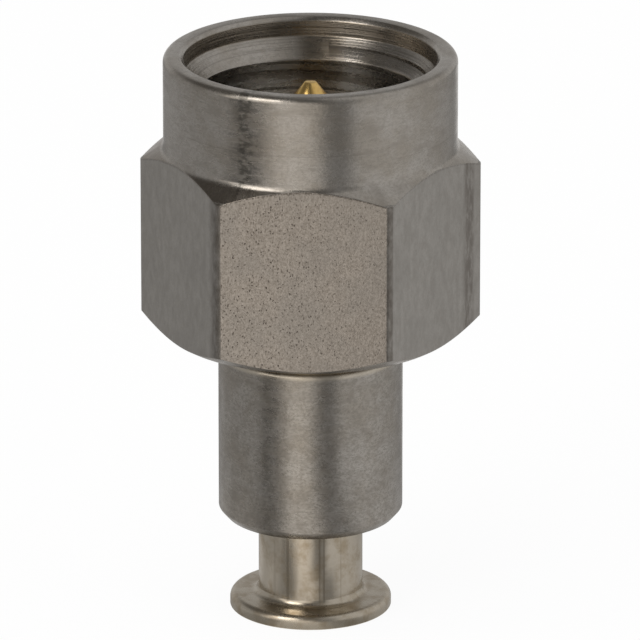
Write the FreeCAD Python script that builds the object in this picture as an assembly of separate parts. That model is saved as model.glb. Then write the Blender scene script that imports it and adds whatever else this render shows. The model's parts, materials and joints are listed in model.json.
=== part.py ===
"""Straight SMA plug of the crimp type, standing on the flange of its loose crimp ferrule.

The frame has its origin at the centre of the flange's underside, and +Z runs along the
connector's axis, up through the body to the mouth of the coupling nut. One flat of the
nut's hexagon faces -Y. All sizes are in millimetres. Nearly every piece is turned, so a
piece is an outline of (radius, height) corners, revolved about the axis.
"""

import FreeCAD, Part
import math
import os

# Crimp ferrule: a thin tube with a flat flange at its cable end.
FERRULE_LENGTH = 2.64
FERRULE_TUBE_RADIUS = 1.405
FERRULE_WALL = 0.355
FLANGE_RADIUS = 2.18
FLANGE_THICKNESS = 0.38
FLANGE_FILLET = 0.20
FERRULE_MOUTH_CHAMFER = 0.14

# Coupling nut: hexagon with a turned collar at its mouth, bored for a 1/4-36 thread.
NUT_ACROSS_FLATS = 7.94
CORNER_TRIM = 0.034
NUT_LENGTH = 7.67
COLLAR_SETBACK = 0.04
COLLAR_WALL = 0.555
COLLAR_LENGTH = 2.55
COLLAR_FILLET = 0.10
RIM_ROUNDING = 0.18
HEX_TOP_CHAMFER_ANGLE = 34.0
HEX_END_CHAMFER_ANGLE = 30.0
END_FACE_SETBACK = 0.17
MOUTH_CHAMFER = 0.11
MOUTH_BORE_DEPTH = 0.53
COUNTERSINK_ANGLE = 45.0
NUT_LIP_LENGTH = 0.87
NUT_LIP_CHAMFER = 0.10

# Retaining ring: a flat split ring that snaps out into the nut's groove.
RING_THICKNESS = 0.45
RING_WIDTH = 0.70
RING_GAP_WIDTH = 1.60
RING_FLOAT = 0.15

# Body: rear cylinder that shows, then neck, land, ring groove, shoulder and front tube.
REAR_RADIUS = 2.48
REAR_LENGTH = 4.76
REAR_TOP_CHAMFER = 0.14
REAR_END_CHAMFER_WIDTH = 0.20
REAR_END_CHAMFER_HEIGHT = 0.23
NECK_DEPTH = 0.18
NECK_LENGTH = 0.90
LAND_WIDTH = 0.50
SHOULDER_STEP = 0.46
SHOULDER_THICKNESS = 0.70
FRONT_TUBE_RADIUS = 2.29
FRONT_TUBE_WALL = 0.235
FRONT_TUBE_LENGTH = 2.40
FRONT_TUBE_CHAMFER = 0.08
WAIST_STEP_HEIGHT = 0.30
WAIST_BORE_RADIUS = 1.50
RING_GROOVE_WALL = 0.50
STEM_SEAT_WALL = 0.58
STEM_SEAT_DEPTH = 2.56

# Silicone gasket in front of the body's shoulder, centred by a root collar of the front tube.
GASKET_THICKNESS = 0.45
ROOT_COLLAR_STEP = 0.18
ROOT_COLLAR_HEIGHT = 0.30
GASKET_SETBACK = 0.03
GASKET_CHAMFER = 0.08

# Centre contact: pin, thick middle, holding flange and drilled tail.
CONTACT_RECESS = 0.03
PIN_RADIUS = 0.46
PIN_LENGTH = 2.33
PIN_TIP_RADIUS = 0.155
PIN_TIP_ANGLE = 30.0
CONTACT_RADIUS = 0.635
CONTACT_MIDDLE_LENGTH = 3.97
CONTACT_FLANGE_STEP = 0.315
CONTACT_FLANGE_THICKNESS = 0.50
TAIL_RADIUS = 0.635
TAIL_LENGTH = 1.90
TAIL_BORE_RADIUS = 0.17
TAIL_BORE_DEPTH = 1.40
TAIL_BORE_CHAMFER = 0.12

# Crimp stem: a head pressed into the body's rear and a knurled tube.
STEM_BORE_RADIUS = 0.475
STEM_WALL = 0.225
STEM_SETBACK = 0.44
STEM_TIP_CHAMFER = 0.10
STEM_HEAD_CHAMFER = 0.15
KNURL_TEETH = 24
KNURL_DEPTH = 0.07
KNURL_START = 0.30
KNURL_END_MARGIN = 0.40

# Gaps between pieces: pressed or captive ones just clear their seat, loose ones have play.
SEAT_GAP = 0.01
SHOULDER_CLEARANCE = 0.12
LIP_CLEARANCE = 0.06
LAND_CLEARANCE = 0.21
RING_CATCH = 0.15
RING_SNAP_CLEARANCE = 0.13
RING_PLAY = 0.05

# Radii that follow from a neighbour and a gap or a wall.
FERRULE_BORE_RADIUS = FERRULE_TUBE_RADIUS - FERRULE_WALL
SHOULDER_RADIUS = FRONT_TUBE_RADIUS + SHOULDER_STEP
THREAD_MINOR_RADIUS = SHOULDER_RADIUS + SHOULDER_CLEARANCE
NUT_FLAT_RADIUS = NUT_ACROSS_FLATS / 2
NUT_CORNER_RADIUS = NUT_FLAT_RADIUS / math.cos(math.radians(30)) - CORNER_TRIM
NUT_END_FACE_RADIUS = NUT_FLAT_RADIUS - END_FACE_SETBACK
COLLAR_RADIUS = NUT_FLAT_RADIUS - COLLAR_SETBACK
MOUTH_BORE_RADIUS = COLLAR_RADIUS - COLLAR_WALL
NUT_LIP_RADIUS = SHOULDER_RADIUS + LIP_CLEARANCE
LAND_RADIUS = NUT_LIP_RADIUS - LAND_CLEARANCE
NECK_RADIUS = REAR_RADIUS - NECK_DEPTH
RING_OUTER_RADIUS = THREAD_MINOR_RADIUS + RING_CATCH
RING_INNER_RADIUS = RING_OUTER_RADIUS - RING_WIDTH
NUT_GROOVE_RADIUS = RING_OUTER_RADIUS + RING_SNAP_CLEARANCE
RING_GROOVE_RADIUS = WAIST_BORE_RADIUS + RING_GROOVE_WALL
FRONT_BORE_RADIUS = FRONT_TUBE_RADIUS - FRONT_TUBE_WALL
STEM_SEAT_RADIUS = REAR_RADIUS - STEM_SEAT_WALL
ROOT_COLLAR_RADIUS = FRONT_TUBE_RADIUS + ROOT_COLLAR_STEP
GASKET_OUTER_RADIUS = SHOULDER_RADIUS - GASKET_SETBACK
CONTACT_FLANGE_RADIUS = CONTACT_RADIUS + CONTACT_FLANGE_STEP
STEM_RADIUS = STEM_BORE_RADIUS + STEM_WALL

# Heights along the axis, stacked up from the underside of the ferrule's flange.
REAR_FACE_Z = FERRULE_LENGTH
NECK_Z = REAR_FACE_Z + REAR_LENGTH
LAND_Z = NECK_Z + NECK_LENGTH
RING_GROOVE_Z = LAND_Z + LAND_WIDTH
RING_TOP_Z = RING_GROOVE_Z + RING_THICKNESS
SHOULDER_Z = RING_TOP_Z + RING_FLOAT
GASKET_Z = SHOULDER_Z + SHOULDER_THICKNESS
GASKET_TOP_Z = GASKET_Z + GASKET_THICKNESS
REFERENCE_Z = GASKET_Z + FRONT_TUBE_LENGTH
WAIST_Z = SHOULDER_Z + WAIST_STEP_HEIGHT
STEM_HEAD_Z = REAR_FACE_Z + STEM_SEAT_DEPTH
NUT_GROOVE_Z = RING_GROOVE_Z - RING_PLAY
NUT_END_Z = NUT_GROOVE_Z - NUT_LIP_LENGTH
NUT_MOUTH_Z = NUT_END_Z + NUT_LENGTH
COLLAR_Z = NUT_MOUTH_Z - COLLAR_LENGTH
CONTACT_SHOULDER_Z = REFERENCE_Z - CONTACT_RECESS
CONTACT_FLANGE_TOP_Z = CONTACT_SHOULDER_Z - CONTACT_MIDDLE_LENGTH
CONTACT_FLANGE_Z = CONTACT_FLANGE_TOP_Z - CONTACT_FLANGE_THICKNESS


def slope_rise(run, angle):
    """Rise over a radial run of a cone whose wall stands at this angle to the flat."""
    return run * math.tan(math.radians(angle))


def rounded_corner(before, corner, after, radius):
    """Start, middle and end of the arc that rounds one corner of an outline."""
    to_before = (before - corner).normalize()
    to_after = (after - corner).normalize()
    half_angle = to_before.getAngle(to_after) / 2
    bisector = (to_before + to_after).normalize()
    setback = radius / math.tan(half_angle)
    middle = corner + bisector * (radius / math.sin(half_angle) - radius)
    return corner + to_before * setback, middle, corner + to_after * setback


def turned(corners):
    """Solid turned about Z from a closed outline of (radius, height) corners.

    A third number in a corner is the radius of an arc that rounds it.
    """
    points = [FreeCAD.Vector(corner[0], 0, corner[1]) for corner in corners]
    count = len(points)
    arcs = []
    for index, corner in enumerate(corners):
        point = points[index]
        if len(corner) == 3:
            after = points[(index + 1) % count]
            arcs.append(rounded_corner(points[index - 1], point, after, corner[2]))
        else:
            arcs.append((point, None, point))
    edges = []
    for index, (start, middle, end) in enumerate(arcs):
        edges.append(Part.LineSegment(arcs[index - 1][2], start).toShape())
        if middle is not None:
            edges.append(Part.Arc(start, middle, end).toShape())
    face = Part.Face(Part.Wire(Part.__sortEdges__(edges)))
    return face.revolve(FreeCAD.Vector(0, 0, 0), FreeCAD.Vector(0, 0, 1), 360)


def hexagon_bar(across_flats, bottom, length):
    """Upright hexagonal bar with one flat facing -Y."""
    corner_radius = across_flats / 2 / math.cos(math.radians(30))
    corners = []
    for step in range(7):
        angle = math.radians(60 * step)
        x = corner_radius * math.cos(angle)
        y = corner_radius * math.sin(angle)
        corners.append(FreeCAD.Vector(x, y, bottom))
    face = Part.Face(Part.makePolygon(corners))
    return face.extrude(FreeCAD.Vector(0, 0, length))


def coupling_nut():
    """Hex nut with a collar, turned from hexagon bar, so its chamfers curve on the flats."""
    top_drop = slope_rise(NUT_CORNER_RADIUS - COLLAR_RADIUS, HEX_TOP_CHAMFER_ANGLE)
    end_rise = slope_rise(NUT_CORNER_RADIUS - NUT_END_FACE_RADIUS, HEX_END_CHAMFER_ANGLE)
    seat_depth = MOUTH_BORE_DEPTH + slope_rise(MOUTH_BORE_RADIUS - THREAD_MINOR_RADIUS, COUNTERSINK_ANGLE)
    blank = turned([
        (NUT_LIP_RADIUS + NUT_LIP_CHAMFER, NUT_END_Z),
        (NUT_END_FACE_RADIUS, NUT_END_Z),
        (NUT_CORNER_RADIUS, NUT_END_Z + end_rise),
        (NUT_CORNER_RADIUS, COLLAR_Z - top_drop),
        (COLLAR_RADIUS, COLLAR_Z, COLLAR_FILLET),
        (COLLAR_RADIUS, NUT_MOUTH_Z, RIM_ROUNDING),
        (MOUTH_BORE_RADIUS + MOUTH_CHAMFER, NUT_MOUTH_Z),
        (MOUTH_BORE_RADIUS, NUT_MOUTH_Z - MOUTH_CHAMFER),
        (MOUTH_BORE_RADIUS, NUT_MOUTH_Z - MOUTH_BORE_DEPTH),
        (THREAD_MINOR_RADIUS, NUT_MOUTH_Z - seat_depth),
        (THREAD_MINOR_RADIUS, RING_TOP_Z),
        (NUT_GROOVE_RADIUS, RING_TOP_Z),
        (NUT_GROOVE_RADIUS, NUT_GROOVE_Z),
        (NUT_LIP_RADIUS, NUT_GROOVE_Z),
        (NUT_LIP_RADIUS, NUT_END_Z + NUT_LIP_CHAMFER),
    ])
    return blank.common(hexagon_bar(NUT_ACROSS_FLATS, NUT_END_Z, NUT_LENGTH))


def retaining_ring():
    """Flat ring with one gap at its back, resting on the land of the body."""
    ring = turned([
        (RING_INNER_RADIUS, RING_GROOVE_Z),
        (RING_OUTER_RADIUS, RING_GROOVE_Z),
        (RING_OUTER_RADIUS, RING_TOP_Z),
        (RING_INNER_RADIUS, RING_TOP_Z),
    ])
    gap = Part.makeBox(RING_GAP_WIDTH, RING_OUTER_RADIUS, RING_THICKNESS)
    gap.translate(FreeCAD.Vector(-RING_GAP_WIDTH / 2, 0, RING_GROOVE_Z))
    return ring.cut(gap)


def interface_gasket():
    """Rubber ring on the body's shoulder that seals against the mating jack."""
    inner_radius = ROOT_COLLAR_RADIUS + SEAT_GAP
    return turned([
        (inner_radius, GASKET_Z),
        (GASKET_OUTER_RADIUS, GASKET_Z),
        (GASKET_OUTER_RADIUS, GASKET_TOP_Z - GASKET_CHAMFER),
        (GASKET_OUTER_RADIUS - GASKET_CHAMFER, GASKET_TOP_Z),
        (inner_radius, GASKET_TOP_Z),
    ])


def body_shell():
    """One-piece body: outer conductor in front, plain cylinder with the stem's seat behind."""
    return turned([
        (STEM_SEAT_RADIUS, REAR_FACE_Z),
        (REAR_RADIUS - REAR_END_CHAMFER_WIDTH, REAR_FACE_Z),
        (REAR_RADIUS, REAR_FACE_Z + REAR_END_CHAMFER_HEIGHT),
        (REAR_RADIUS, NECK_Z - REAR_TOP_CHAMFER),
        (REAR_RADIUS - REAR_TOP_CHAMFER, NECK_Z),
        (NECK_RADIUS, NECK_Z),
        (NECK_RADIUS, LAND_Z),
        (LAND_RADIUS, LAND_Z),
        (LAND_RADIUS, RING_GROOVE_Z),
        (RING_GROOVE_RADIUS, RING_GROOVE_Z),
        (RING_GROOVE_RADIUS, SHOULDER_Z),
        (SHOULDER_RADIUS, SHOULDER_Z),
        (SHOULDER_RADIUS, GASKET_Z),
        (ROOT_COLLAR_RADIUS, GASKET_Z),
        (ROOT_COLLAR_RADIUS, GASKET_Z + ROOT_COLLAR_HEIGHT),
        (FRONT_TUBE_RADIUS, GASKET_Z + ROOT_COLLAR_HEIGHT),
        (FRONT_TUBE_RADIUS, REFERENCE_Z - FRONT_TUBE_CHAMFER),
        (FRONT_TUBE_RADIUS - FRONT_TUBE_CHAMFER, REFERENCE_Z),
        (FRONT_BORE_RADIUS, REFERENCE_Z),
        (FRONT_BORE_RADIUS, WAIST_Z),
        (WAIST_BORE_RADIUS, WAIST_Z),
        (WAIST_BORE_RADIUS, STEM_HEAD_Z),
        (STEM_SEAT_RADIUS, STEM_HEAD_Z),
    ])


def front_insulator():
    """Stepped PTFE bead, flush with the reference plane, with a pocket for the contact's flange."""
    return turned([
        (CONTACT_FLANGE_RADIUS + SEAT_GAP, CONTACT_FLANGE_Z),
        (WAIST_BORE_RADIUS - SEAT_GAP, CONTACT_FLANGE_Z),
        (WAIST_BORE_RADIUS - SEAT_GAP, WAIST_Z),
        (FRONT_BORE_RADIUS - SEAT_GAP, WAIST_Z),
        (FRONT_BORE_RADIUS - SEAT_GAP, REFERENCE_Z),
        (CONTACT_RADIUS + SEAT_GAP, REFERENCE_Z),
        (CONTACT_RADIUS + SEAT_GAP, CONTACT_FLANGE_TOP_Z),
        (CONTACT_FLANGE_RADIUS + SEAT_GAP, CONTACT_FLANGE_TOP_Z),
    ])


def rear_insulator():
    """PTFE sleeve that backs the contact's flange and stands on the stem's head."""
    return turned([
        (TAIL_RADIUS + SEAT_GAP, STEM_HEAD_Z),
        (WAIST_BORE_RADIUS - SEAT_GAP, STEM_HEAD_Z),
        (WAIST_BORE_RADIUS - SEAT_GAP, CONTACT_FLANGE_Z),
        (TAIL_RADIUS + SEAT_GAP, CONTACT_FLANGE_Z),
    ])


def center_contact():
    """Pin with a blunt conical tip, a thick middle, a holding flange and a drilled tail."""
    tip_z = CONTACT_SHOULDER_Z + PIN_LENGTH
    cone_length = (PIN_RADIUS - PIN_TIP_RADIUS) / math.tan(math.radians(PIN_TIP_ANGLE))
    tail_z = CONTACT_FLANGE_Z - TAIL_LENGTH
    return turned([
        (0, tail_z + TAIL_BORE_DEPTH),
        (TAIL_BORE_RADIUS, tail_z + TAIL_BORE_DEPTH),
        (TAIL_BORE_RADIUS, tail_z + TAIL_BORE_CHAMFER),
        (TAIL_BORE_RADIUS + TAIL_BORE_CHAMFER, tail_z),
        (TAIL_RADIUS, tail_z),
        (TAIL_RADIUS, CONTACT_FLANGE_Z),
        (CONTACT_FLANGE_RADIUS, CONTACT_FLANGE_Z),
        (CONTACT_FLANGE_RADIUS, CONTACT_FLANGE_TOP_Z),
        (CONTACT_RADIUS, CONTACT_FLANGE_TOP_Z),
        (CONTACT_RADIUS, CONTACT_SHOULDER_Z),
        (PIN_RADIUS, CONTACT_SHOULDER_Z),
        (PIN_RADIUS, tip_z - cone_length),
        (PIN_TIP_RADIUS, tip_z),
        (0, tip_z),
    ])


def knurl_grooves():
    """V grooves along the stem's tube, set evenly around it, with the point inwards."""
    pitch_angle = math.radians(360 / KNURL_TEETH)
    half_width = STEM_RADIUS * math.tan(pitch_angle / 2)
    top = REAR_FACE_Z - KNURL_START
    root = FreeCAD.Vector(STEM_RADIUS - KNURL_DEPTH, 0, top)
    crest = STEM_RADIUS / math.cos(pitch_angle / 2) + KNURL_DEPTH
    left = FreeCAD.Vector(crest, half_width, top)
    right = FreeCAD.Vector(crest, -half_width, top)
    face = Part.Face(Part.makePolygon([root, left, right, root]))
    groove = face.extrude(FreeCAD.Vector(0, 0, STEM_SETBACK + KNURL_END_MARGIN - top))
    grooves = []
    for tooth in range(KNURL_TEETH):
        copy = groove.copy()
        copy.rotate(FreeCAD.Vector(0, 0, 0), FreeCAD.Vector(0, 0, 1), 360 * tooth / KNURL_TEETH)
        grooves.append(copy)
    return grooves


def crimp_stem():
    """Stem whose head is pressed into the body and whose knurled tube carries the braid."""
    head_radius = STEM_SEAT_RADIUS - SEAT_GAP
    stem = turned([
        (STEM_BORE_RADIUS, STEM_SETBACK),
        (STEM_RADIUS - STEM_TIP_CHAMFER, STEM_SETBACK),
        (STEM_RADIUS, STEM_SETBACK + STEM_TIP_CHAMFER),
        (STEM_RADIUS, REAR_FACE_Z),
        (head_radius, REAR_FACE_Z),
        (head_radius, STEM_HEAD_Z - STEM_HEAD_CHAMFER),
        (head_radius - STEM_HEAD_CHAMFER, STEM_HEAD_Z),
        (STEM_BORE_RADIUS, STEM_HEAD_Z),
    ])
    return stem.cut(knurl_grooves())


def crimp_ferrule():
    """Thin tube with a flange, a concave fillet above it and a flared mouth below."""
    flange_top = FLANGE_THICKNESS
    return turned([
        (FERRULE_BORE_RADIUS + FERRULE_MOUTH_CHAMFER, 0),
        (FLANGE_RADIUS, 0),
        (FLANGE_RADIUS, flange_top),
        (FERRULE_TUBE_RADIUS, flange_top, FLANGE_FILLET),
        (FERRULE_TUBE_RADIUS, FERRULE_LENGTH),
        (FERRULE_BORE_RADIUS, FERRULE_LENGTH),
        (FERRULE_BORE_RADIUS, FERRULE_MOUTH_CHAMFER),
    ])


PIECES = {
    "coupling_nut": coupling_nut,
    "retaining_ring": retaining_ring,
    "interface_gasket": interface_gasket,
    "body_shell": body_shell,
    "front_insulator": front_insulator,
    "rear_insulator": rear_insulator,
    "center_contact": center_contact,
    "crimp_stem": crimp_stem,
    "crimp_ferrule": crimp_ferrule,
}

os.makedirs("parts", exist_ok=True)
for name, build in PIECES.items():
    solid = build()
    solid.exportStep("parts/" + name + ".step")
    box = solid.BoundBox
    print(f"{name}: {len(solid.Solids)} solid, {solid.Volume:.3f} mm3, z {box.ZMin:.2f} to {box.ZMax:.2f}")
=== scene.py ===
# %% [markdown]
# A small coaxial plug, turned on a lathe and standing on the flange of its crimp ferrule.
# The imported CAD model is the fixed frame: it says where each piece is and how it moves.
# Everything here is made around it, in metres and in the same place.

# %% Load the frame
import bmesh
import bpy
import json
import math
from mathutils import Matrix, Vector

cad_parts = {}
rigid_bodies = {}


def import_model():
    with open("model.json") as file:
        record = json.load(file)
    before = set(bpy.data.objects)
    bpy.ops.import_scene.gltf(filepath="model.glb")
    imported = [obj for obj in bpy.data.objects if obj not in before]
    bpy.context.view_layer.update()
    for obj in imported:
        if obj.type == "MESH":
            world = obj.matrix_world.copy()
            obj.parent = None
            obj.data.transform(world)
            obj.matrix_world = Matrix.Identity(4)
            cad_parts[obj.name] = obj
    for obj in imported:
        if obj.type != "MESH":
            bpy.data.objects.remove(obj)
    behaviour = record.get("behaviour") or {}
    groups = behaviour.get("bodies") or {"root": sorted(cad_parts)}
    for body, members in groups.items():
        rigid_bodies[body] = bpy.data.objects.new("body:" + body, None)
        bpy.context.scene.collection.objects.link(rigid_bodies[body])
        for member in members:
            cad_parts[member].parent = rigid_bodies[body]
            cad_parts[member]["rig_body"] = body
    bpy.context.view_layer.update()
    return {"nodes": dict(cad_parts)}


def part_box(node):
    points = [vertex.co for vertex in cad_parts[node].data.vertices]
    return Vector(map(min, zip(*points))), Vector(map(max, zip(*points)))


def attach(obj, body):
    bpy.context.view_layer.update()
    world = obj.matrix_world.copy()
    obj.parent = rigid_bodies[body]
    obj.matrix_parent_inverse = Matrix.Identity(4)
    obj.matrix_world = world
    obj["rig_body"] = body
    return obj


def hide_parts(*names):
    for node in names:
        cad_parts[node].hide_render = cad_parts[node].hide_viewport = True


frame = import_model()
print("nodes:", sorted(frame["nodes"]))

# %% [markdown]
# Lathe work is easiest to think of in millimetres, as the drawing of such a part is. The frame
# gives each node's box, so the radii and heights that the real pieces share with it are read
# from there, and only what a box can't tell is written down as a named value.

# %% Millimetres, and the size of a node
MM = 0.001


def reach(node):
    """Outer radius, lowest and highest point of a turned node, in millimetres."""
    low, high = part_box(node)
    return high.x / MM, low.z / MM, high.z / MM


FLANGE_RADIUS, FLANGE_Z, FERRULE_TOP_Z = reach("crimp_ferrule")
NUT_CORNER_RADIUS, NUT_END_Z, NUT_MOUTH_Z = reach("coupling_nut")
SHOULDER_RADIUS, REAR_FACE_Z, REFERENCE_Z = reach("body_shell")
RING_OUTER_RADIUS, RING_Z, RING_TOP_Z = reach("retaining_ring")
GASKET_RADIUS, GASKET_Z, GASKET_TOP_Z = reach("interface_gasket")
CONTACT_FLANGE_RADIUS, TAIL_Z, PIN_TIP_Z = reach("center_contact")
STEM_HEAD_RADIUS, STEM_TIP_Z, STEM_HEAD_Z = reach("crimp_stem")
FRONT_BEAD_RADIUS, CONTACT_FLANGE_Z, FRONT_BEAD_TOP_Z = reach("front_insulator")
NUT_FLAT_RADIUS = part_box("coupling_nut")[1].y / MM
print(f"nut: {2 * NUT_FLAT_RADIUS:.2f} mm across flats, {NUT_MOUTH_Z - NUT_END_Z:.2f} mm long")

# %% [markdown]
# A lathe makes a piece by turning one outline about an axis, and Spin does the same: a closed
# outline of (radius, height) corners stands on the XZ plane and sweeps once about Z. Real
# turned edges are never knife sharp. A vertex bevel on the outline breaks each corner first,
# which is cheaper and cleaner than a bevel on the finished solid.

# %% Spin an outline into a turned piece
SPIN_STEPS = 192
EDGE_BREAK = 0.025
BREAK_SEGMENTS = 2
ARC_SEGMENTS = 8
ARC_FROM = 0.09
WELD = 1e-8


def outline_loop(shape, corners, edge_break):
    """Closed loop of edges through (radius, height) corners; a third number rounds a corner."""
    loop = [shape.verts.new((corner[0] * MM, 0, corner[1] * MM)) for corner in corners]
    for index, vert in enumerate(loop):
        shape.edges.new((loop[index - 1], vert))
    for corner, vert in zip(corners, loop):
        rounding = corner[2] if len(corner) == 3 else edge_break
        if corner[0] > 0 and rounding > 0:
            segments = ARC_SEGMENTS if rounding > ARC_FROM else BREAK_SEGMENTS
            bmesh.ops.bevel(shape, geom=[vert], offset=rounding * MM, offset_type="OFFSET",
                            segments=segments, profile=0.5, affect="VERTICES", material=-1)


def turned_shape(corners, edge_break=EDGE_BREAK):
    """A bmesh solid turned about Z from an outline in millimetres."""
    shape = bmesh.new()
    outline_loop(shape, corners, edge_break)
    bmesh.ops.spin(shape, geom=shape.verts[:] + shape.edges[:], cent=(0, 0, 0), axis=(0, 0, 1),
                   angle=math.tau, steps=SPIN_STEPS, use_merge=True)
    bmesh.ops.remove_doubles(shape, verts=shape.verts[:], dist=WELD)
    bmesh.ops.recalc_face_normals(shape, faces=shape.faces[:])
    return shape


# %% [markdown]
# Each finished shape takes the place of one CAD node and rides on that node's body, so it
# moves with the same joints. Its faces are smooth, and sharp only where two meet at an edge.

# %% Put a shape in place of its node
SHARP_ANGLE = math.radians(28)


def everything(shape):
    """All parts of a bmesh, as its operators want them."""
    return shape.verts[:] + shape.edges[:] + shape.faces[:]


def into_scene(name, shape):
    """Object made from a bmesh, which is freed."""
    mesh = bpy.data.meshes.new(name)
    shape.to_mesh(mesh)
    shape.free()
    item = bpy.data.objects.new(name, mesh)
    bpy.context.scene.collection.objects.link(item)
    return item


def smooth(mesh):
    """Smooth faces with sharp edges."""
    mesh.shade_smooth()
    mesh.set_sharp_from_angle(angle=SHARP_ANGLE)


def finished_piece(name, shape, node):
    """Puts a finished shape into the scene, in place of its CAD node and on that node's body."""
    piece = into_scene(name, shape)
    smooth(piece.data)
    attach(piece, frame["nodes"][node]["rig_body"])
    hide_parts(node)
    return piece


# %% [markdown]
# The crimp ferrule is a thin tube with a flat flange, turned from brass and nickel plated. A
# concave fillet joins tube and flange, and that fillet is what catches the two bright points.

# %% Turn the crimp ferrule
FERRULE_TUBE_RADIUS = 1.405
FERRULE_BORE_RADIUS = 1.05
FLANGE_THICKNESS = 0.38
FLANGE_FILLET = 0.20
FLANGE_EDGE_ROUNDING = 0.18
FERRULE_MOUTH_CHAMFER = 0.14

ferrule = finished_piece("ferrule_turned", turned_shape([
    (FERRULE_BORE_RADIUS + FERRULE_MOUTH_CHAMFER, FLANGE_Z),
    (FLANGE_RADIUS, FLANGE_Z),
    (FLANGE_RADIUS, FLANGE_Z + FLANGE_THICKNESS, FLANGE_EDGE_ROUNDING),
    (FERRULE_TUBE_RADIUS, FLANGE_Z + FLANGE_THICKNESS, FLANGE_FILLET),
    (FERRULE_TUBE_RADIUS, FERRULE_TOP_Z),
    (FERRULE_BORE_RADIUS, FERRULE_TOP_Z),
    (FERRULE_BORE_RADIUS, FLANGE_Z + FERRULE_MOUTH_CHAMFER),
]), "crimp_ferrule")

# %% [markdown]
# The body is one stainless piece. Its plain rear cylinder shows below the nut; the neck, the
# land, the groove for the ring, the shoulder and the thin front tube are inside the nut.

# %% Turn the body
REAR_RADIUS = 2.48
REAR_END_CHAMFER_WIDTH = 0.20
REAR_END_CHAMFER_HEIGHT = 0.23
REAR_TOP_ROUNDING = 0.15
NECK_RADIUS = 2.30
NECK_Z = 7.40
LAND_RADIUS = 2.60
LAND_Z = 8.30
RING_GROOVE_RADIUS = 2.00
SHOULDER_Z = 9.40
ROOT_COLLAR_RADIUS = 2.47
ROOT_COLLAR_HEIGHT = 0.30
FRONT_TUBE_RADIUS = 2.29
FRONT_TUBE_CHAMFER = 0.08
FRONT_BORE_RADIUS = 2.055
WAIST_Z = 9.70
WAIST_BORE_RADIUS = 1.50
STEM_SEAT_RADIUS = 1.90

body = finished_piece("body_turned", turned_shape([
    (STEM_SEAT_RADIUS, REAR_FACE_Z),
    (REAR_RADIUS - REAR_END_CHAMFER_WIDTH, REAR_FACE_Z),
    (REAR_RADIUS, REAR_FACE_Z + REAR_END_CHAMFER_HEIGHT),
    (REAR_RADIUS, NECK_Z, REAR_TOP_ROUNDING),
    (NECK_RADIUS, NECK_Z),
    (NECK_RADIUS, LAND_Z),
    (LAND_RADIUS, LAND_Z),
    (LAND_RADIUS, RING_Z),
    (RING_GROOVE_RADIUS, RING_Z),
    (RING_GROOVE_RADIUS, SHOULDER_Z),
    (SHOULDER_RADIUS, SHOULDER_Z),
    (SHOULDER_RADIUS, GASKET_Z),
    (ROOT_COLLAR_RADIUS, GASKET_Z),
    (ROOT_COLLAR_RADIUS, GASKET_Z + ROOT_COLLAR_HEIGHT),
    (FRONT_TUBE_RADIUS, GASKET_Z + ROOT_COLLAR_HEIGHT),
    (FRONT_TUBE_RADIUS, REFERENCE_Z - FRONT_TUBE_CHAMFER),
    (FRONT_TUBE_RADIUS - FRONT_TUBE_CHAMFER, REFERENCE_Z),
    (FRONT_BORE_RADIUS, REFERENCE_Z),
    (FRONT_BORE_RADIUS, WAIST_Z),
    (WAIST_BORE_RADIUS, WAIST_Z),
    (WAIST_BORE_RADIUS, STEM_HEAD_Z),
    (STEM_SEAT_RADIUS, STEM_HEAD_Z),
]), "body_shell")

# %% [markdown]
# The coupling nut starts as hexagon bar. On the lathe its collar, end face and two chamfers
# are turned, and where a cone meets a flat the edge is a curve. Drawn by hand that curve is
# hard to get right. So the work is turned round: the blank is spun first, as a round piece with
# both cones, and the flats are cut into it afterwards, which makes the curves by themselves.

# %% Turn the nut's blank
COLLAR_RADIUS = 3.93
COLLAR_Z = 13.00
COLLAR_FILLET = 0.10
RIM_ROUNDING = 0.18
HEX_TOP_CHAMFER = math.radians(34)
HEX_END_CHAMFER = math.radians(30)
NUT_END_FACE_RADIUS = 3.80
MOUTH_BORE_RADIUS = 3.375
MOUTH_CHAMFER = 0.11
MOUTH_BORE_DEPTH = 0.53
THREAD_MINOR_RADIUS = 2.87
NUT_LIP_RADIUS = 2.81
NUT_LIP_CHAMFER = 0.10
NUT_GROOVE_RADIUS = 3.15
NUT_GROOVE_Z = 8.75
FLATS = 6
FLAT_STEP = 360 / FLATS
HALF_SIDE = math.radians(FLAT_STEP / 2)
BAR_CORNER_RADIUS = NUT_FLAT_RADIUS / math.cos(HALF_SIDE)
MILLED_OFF = 0.15
BLANK_RADIUS = BAR_CORNER_RADIUS + MILLED_OFF

top_drop = (BLANK_RADIUS - COLLAR_RADIUS) * math.tan(HEX_TOP_CHAMFER)
end_rise = (BLANK_RADIUS - NUT_END_FACE_RADIUS) * math.tan(HEX_END_CHAMFER)
mouth_bore_z = NUT_MOUTH_Z - MOUTH_BORE_DEPTH
thread_top_z = mouth_bore_z - (MOUTH_BORE_RADIUS - THREAD_MINOR_RADIUS)

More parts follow.
